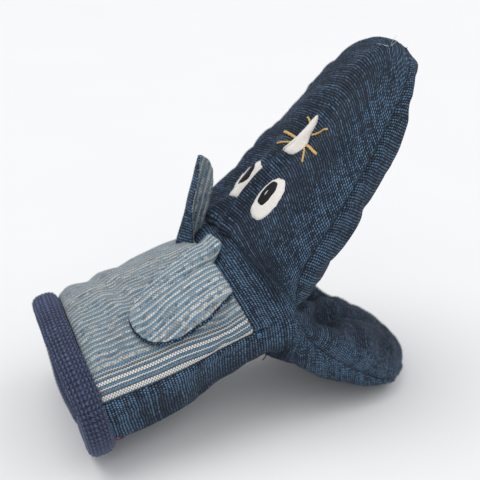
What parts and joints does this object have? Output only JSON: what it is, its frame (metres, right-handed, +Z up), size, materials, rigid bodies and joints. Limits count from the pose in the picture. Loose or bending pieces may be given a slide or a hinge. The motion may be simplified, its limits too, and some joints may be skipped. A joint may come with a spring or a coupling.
{
  "type": "hand puppet",
  "caption": "Padded cloth hand puppet: an oval sleeve for the wrist, a long animal head over a deep open mouth, a lower jaw for the thumb and two folding ears.",
  "frame": {"origin": "middle of the flat under the cuff, where the puppet rests on a table", "axes": "+X from the cuff towards the nose, +Y the puppet's left, +Z up"},
  "size_m": [0.2201, 0.119, 0.2],
  "materials": {
    "striped_cloth": "woven pin stripes in pale grey, white and blue",
    "dark_cloth": "dotted dark blue weave with fine dark ribs",
    "binding_knit": "slate blue rolled knit",
    "lining_cloth": "plain dark cotton",
    "wadding": "white quilt wadding",
    "white_felt": "matt wool felt",
    "black_embroidery": "black satin stitch",
    "gold_thread": "gold embroidery thread",
    "pale_thread": "pale sewing thread",
    "red_thread": "red sewing thread",
    "dark_thread": "dark blue sewing thread"
  },
  "bodies": {
    "sleeve": {"sleeve_front_panel": "striped_cloth", "sleeve_back_panel": "dark_cloth", "head_panel_nape": "dark_cloth", "sleeve_lining": "lining_cloth", "cuff_binding_front": "binding_knit", "cuff_binding_back": "binding_knit", "cuff_tack_stitches": "red_thread", "neck_seam_thread": "dark_thread", "side_seam_thread_right": "dark_thread", "side_seam_thread_left": "dark_thread"},
    "head": {"head_panel": "dark_cloth", "mouth_panel_upper": "dark_cloth", "head_wadding": "wadding", "head_lining": "lining_cloth", "head_edge_seam": "dark_thread", "eye_white_right": "white_felt", "eye_white_left": "white_felt", "pupil_right": "black_embroidery", "pupil_left": "black_embroidery", "eye_glint_right": "pale_thread", "eye_glint_left": "pale_thread", "blaze": "white_felt", "whisker_stitches_right": "gold_thread", "whisker_stitches_left": "gold_thread"},
    "jaw": {"jaw_panel": "dark_cloth", "mouth_panel_lower": "dark_cloth", "jaw_wadding": "wadding", "jaw_lining": "lining_cloth", "jaw_edge_seam": "dark_thread"},
    "ear_right": {"ear_right_back": "dark_cloth", "ear_right_front": "striped_cloth"},
    "ear_left": {"ear_left_back": "dark_cloth", "ear_left_front": "striped_cloth"}
  },
  "joints": [
    {"name": "head_nod", "type": "hinge", "parent": "sleeve", "child": "head", "pos_m": [0.1035, 0, 0.072], "axis": [0, 1, 0], "range_deg": [0, 41], "stiffness_Nm_per_rad": 0.06},
    {"name": "jaw_lift", "type": "hinge", "parent": "sleeve", "child": "jaw", "pos_m": [0.1035, 0, 0.072], "axis": [0, -1, 0], "range_deg": [-8, 40], "stiffness_Nm_per_rad": 0.05},
    {"name": "ear_right_lift", "type": "hinge", "parent": "sleeve", "child": "ear_right", "pos_m": [0.066, -0.025, 0.095], "axis": [0, 1, 0], "range_deg": [0, 85], "stiffness_Nm_per_rad": 0.001},
    {"name": "ear_left_fold", "type": "hinge", "parent": "sleeve", "child": "ear_left", "pos_m": [0.062, 0.018, 0.094], "axis": [0, -1, 0], "range_deg": [0, 85], "stiffness_Nm_per_rad": 0.001}
  ]
}
